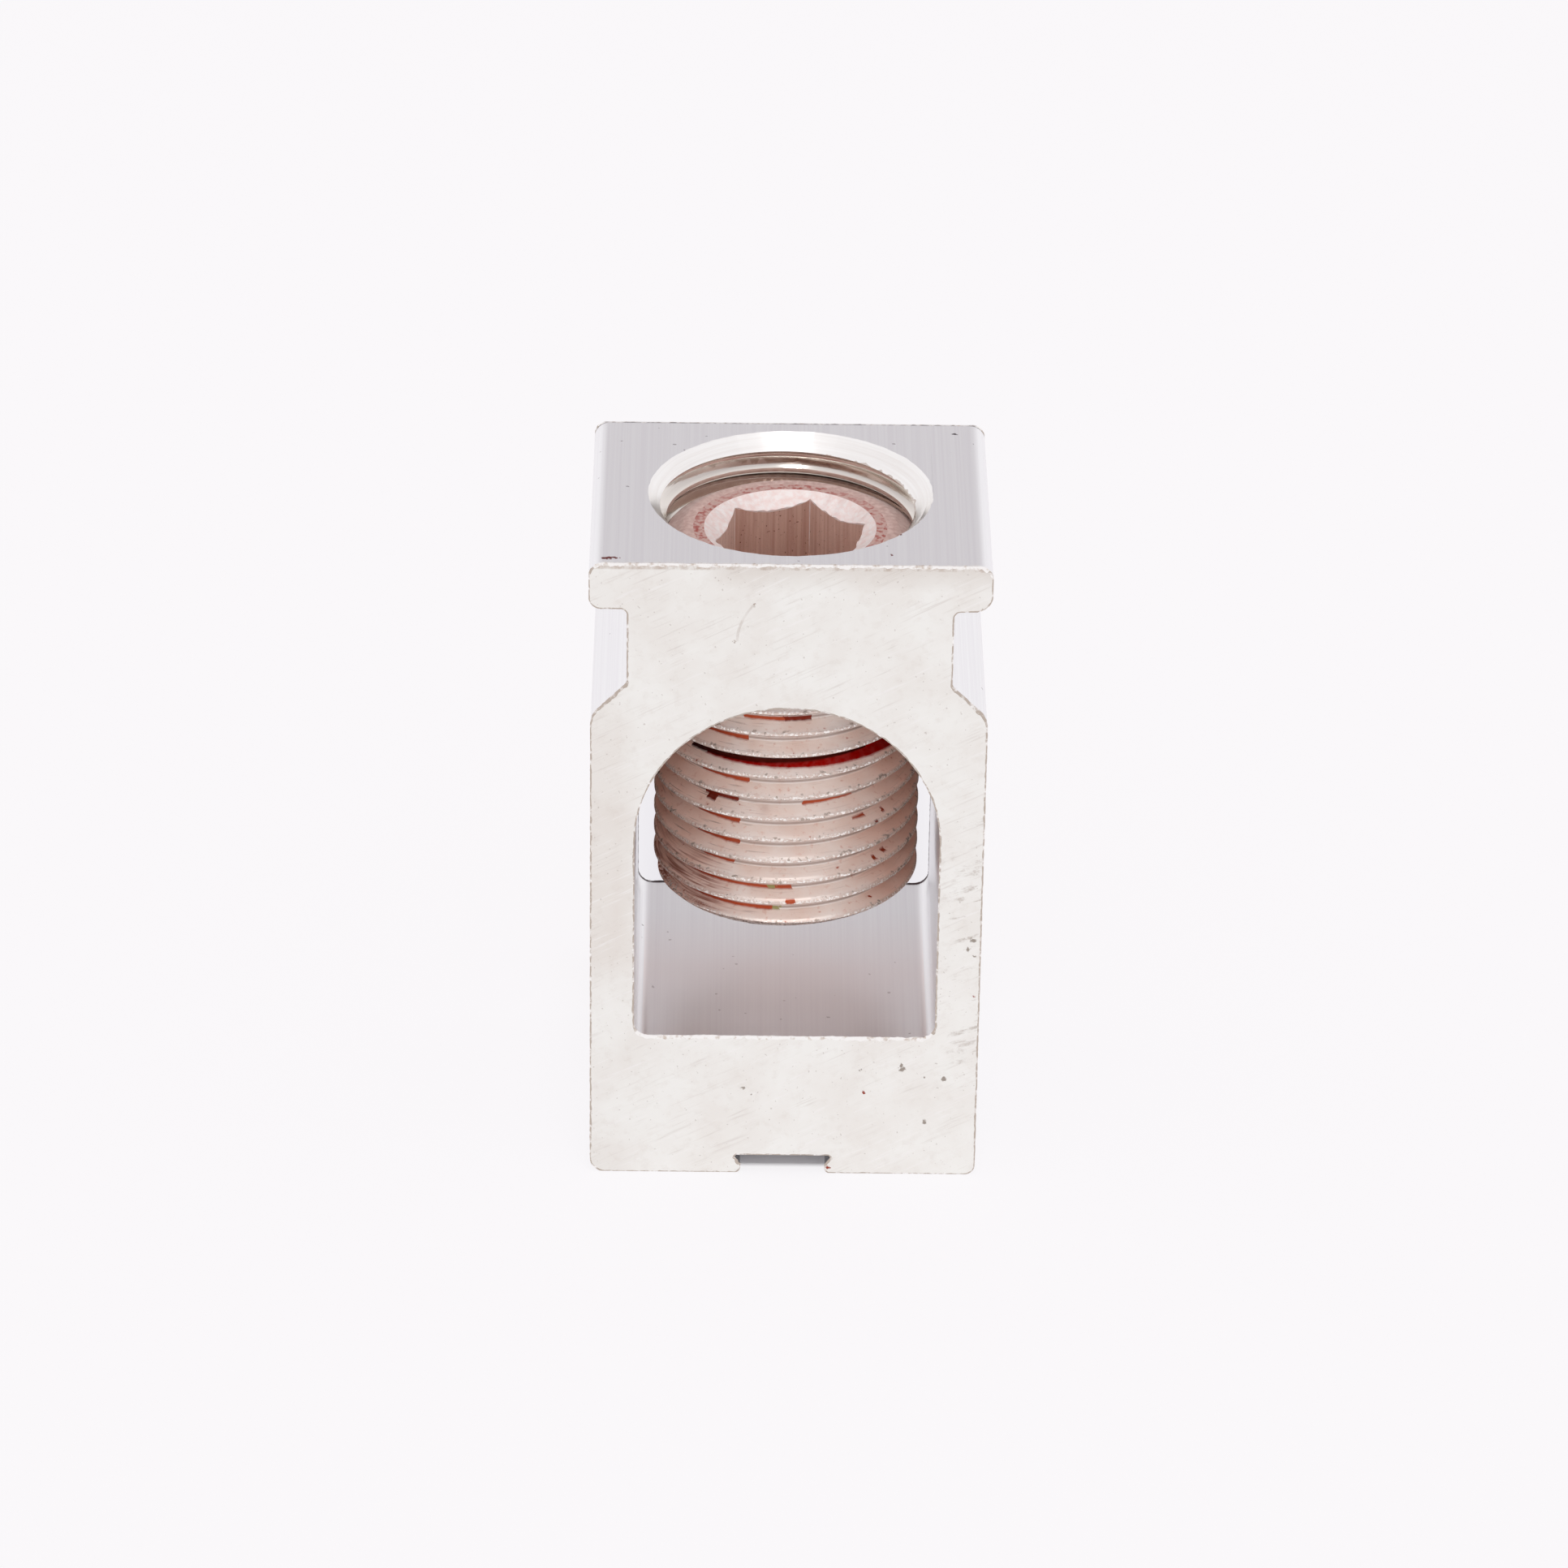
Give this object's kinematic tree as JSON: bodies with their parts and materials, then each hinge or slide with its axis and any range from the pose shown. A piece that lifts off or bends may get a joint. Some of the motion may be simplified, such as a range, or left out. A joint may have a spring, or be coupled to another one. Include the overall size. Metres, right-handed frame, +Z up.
{
  "type": "mechanical lug",
  "caption": "Screw-clamp cable lug: an extruded aluminium block with an arched window for the conductor and a hex socket clamp screw through its flanged top.",
  "frame": {"origin": "middle of the base, on the surface that the lug stands on", "axes": "+Z up along the clamp screw, +Y along the conductor's way through the window, +X across the flange"},
  "size_m": [0.0234, 0.019, 0.041],
  "materials": {
    "tinned_aluminium": "tin-plated, dull saw-cut ends, smooth extruded sides",
    "plated_screw": "worn copper-coloured plating with red-brown deposits in the thread"
  },
  "bodies": {
    "lug": {"lug_body": "tinned_aluminium"},
    "screw": {"clamp_screw": "plated_screw"}
  },
  "joints": [
    {"name": "screw_travel", "type": "slide", "parent": "lug", "child": "screw", "axis": [0, 0, 1], "range_m": [-0.00564, 0.01552]}
  ]
}
